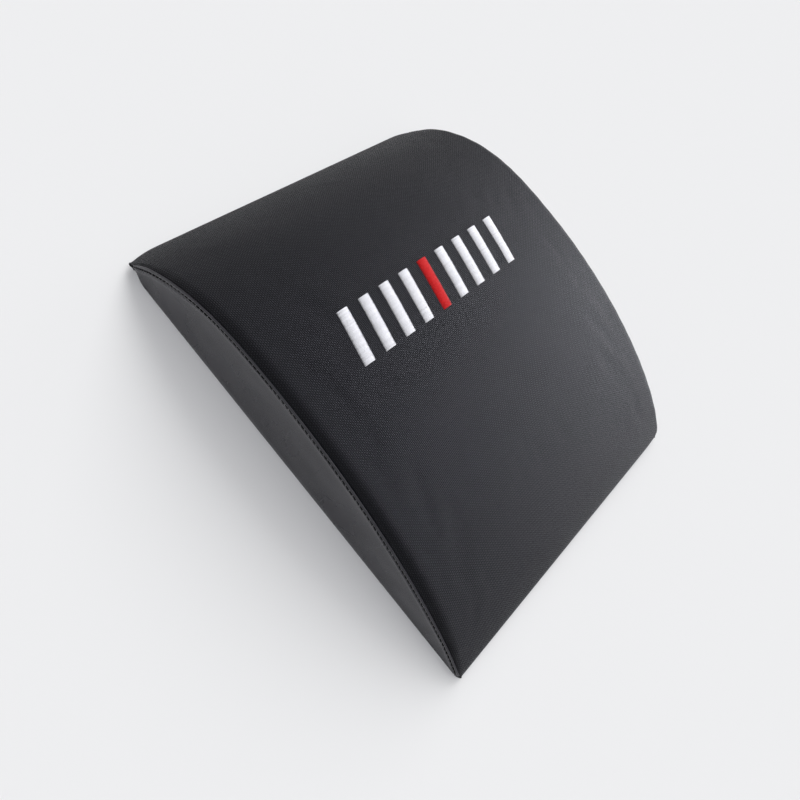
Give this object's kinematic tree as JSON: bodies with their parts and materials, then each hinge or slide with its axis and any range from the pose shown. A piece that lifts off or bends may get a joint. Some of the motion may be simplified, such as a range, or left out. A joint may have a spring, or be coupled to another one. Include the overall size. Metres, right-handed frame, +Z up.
{
  "type": "ab mat",
  "caption": "Bowed foam wedge that supports the lower back during sit-ups, in a woven and smooth vinyl cover that a zip closes in the base.",
  "frame": {"origin": "middle of the base, on the surface that the mat lies on", "axes": "+X to the right across the mat, +Y along it from the thin front edge to the steep rear edge, +Z up"},
  "size_m": [0.312, 0.38, 0.0745],
  "materials": {
    "foam": "matte",
    "woven_cloth": "matte",
    "smooth_vinyl": "satin",
    "base_vinyl": "matte",
    "embroidery_thread": "satin",
    "sewing_thread": "matte",
    "zip_tape": "matte",
    "zip_teeth": "satin",
    "dark_metal": "satin"
  },
  "bodies": {
    "mat": {"foam_core": "foam", "top_panel": "woven_cloth", "side_panel_left": "smooth_vinyl", "side_panel_right": "smooth_vinyl", "base_panel_front": "base_vinyl", "base_panel_rear": "base_vinyl", "zip_tape_front": "zip_tape", "zip_tape_rear": "zip_tape", "zip_teeth_front": "zip_teeth", "zip_teeth_rear": "zip_teeth", "zip_bottom_stop": "dark_metal", "zip_top_stop_front": "dark_metal", "zip_top_stop_rear": "dark_metal"},
    "slider": {"zip_slider": "dark_metal"},
    "pull": {"zip_pull": "dark_metal"}
  },
  "joints": [
    {"name": "zip_slide", "type": "slide", "parent": "mat", "child": "slider", "axis": [1, 0, 0], "range_m": [0, 0.223], "deforming": ["zip_teeth_front", "zip_teeth_rear"]},
    {"name": "pull_turn", "type": "hinge", "parent": "slider", "child": "pull", "pos_m": [-0.115, 0.114, 0.0025], "axis": [0, 1, 0], "range_deg": [0, 180]}
  ]
}
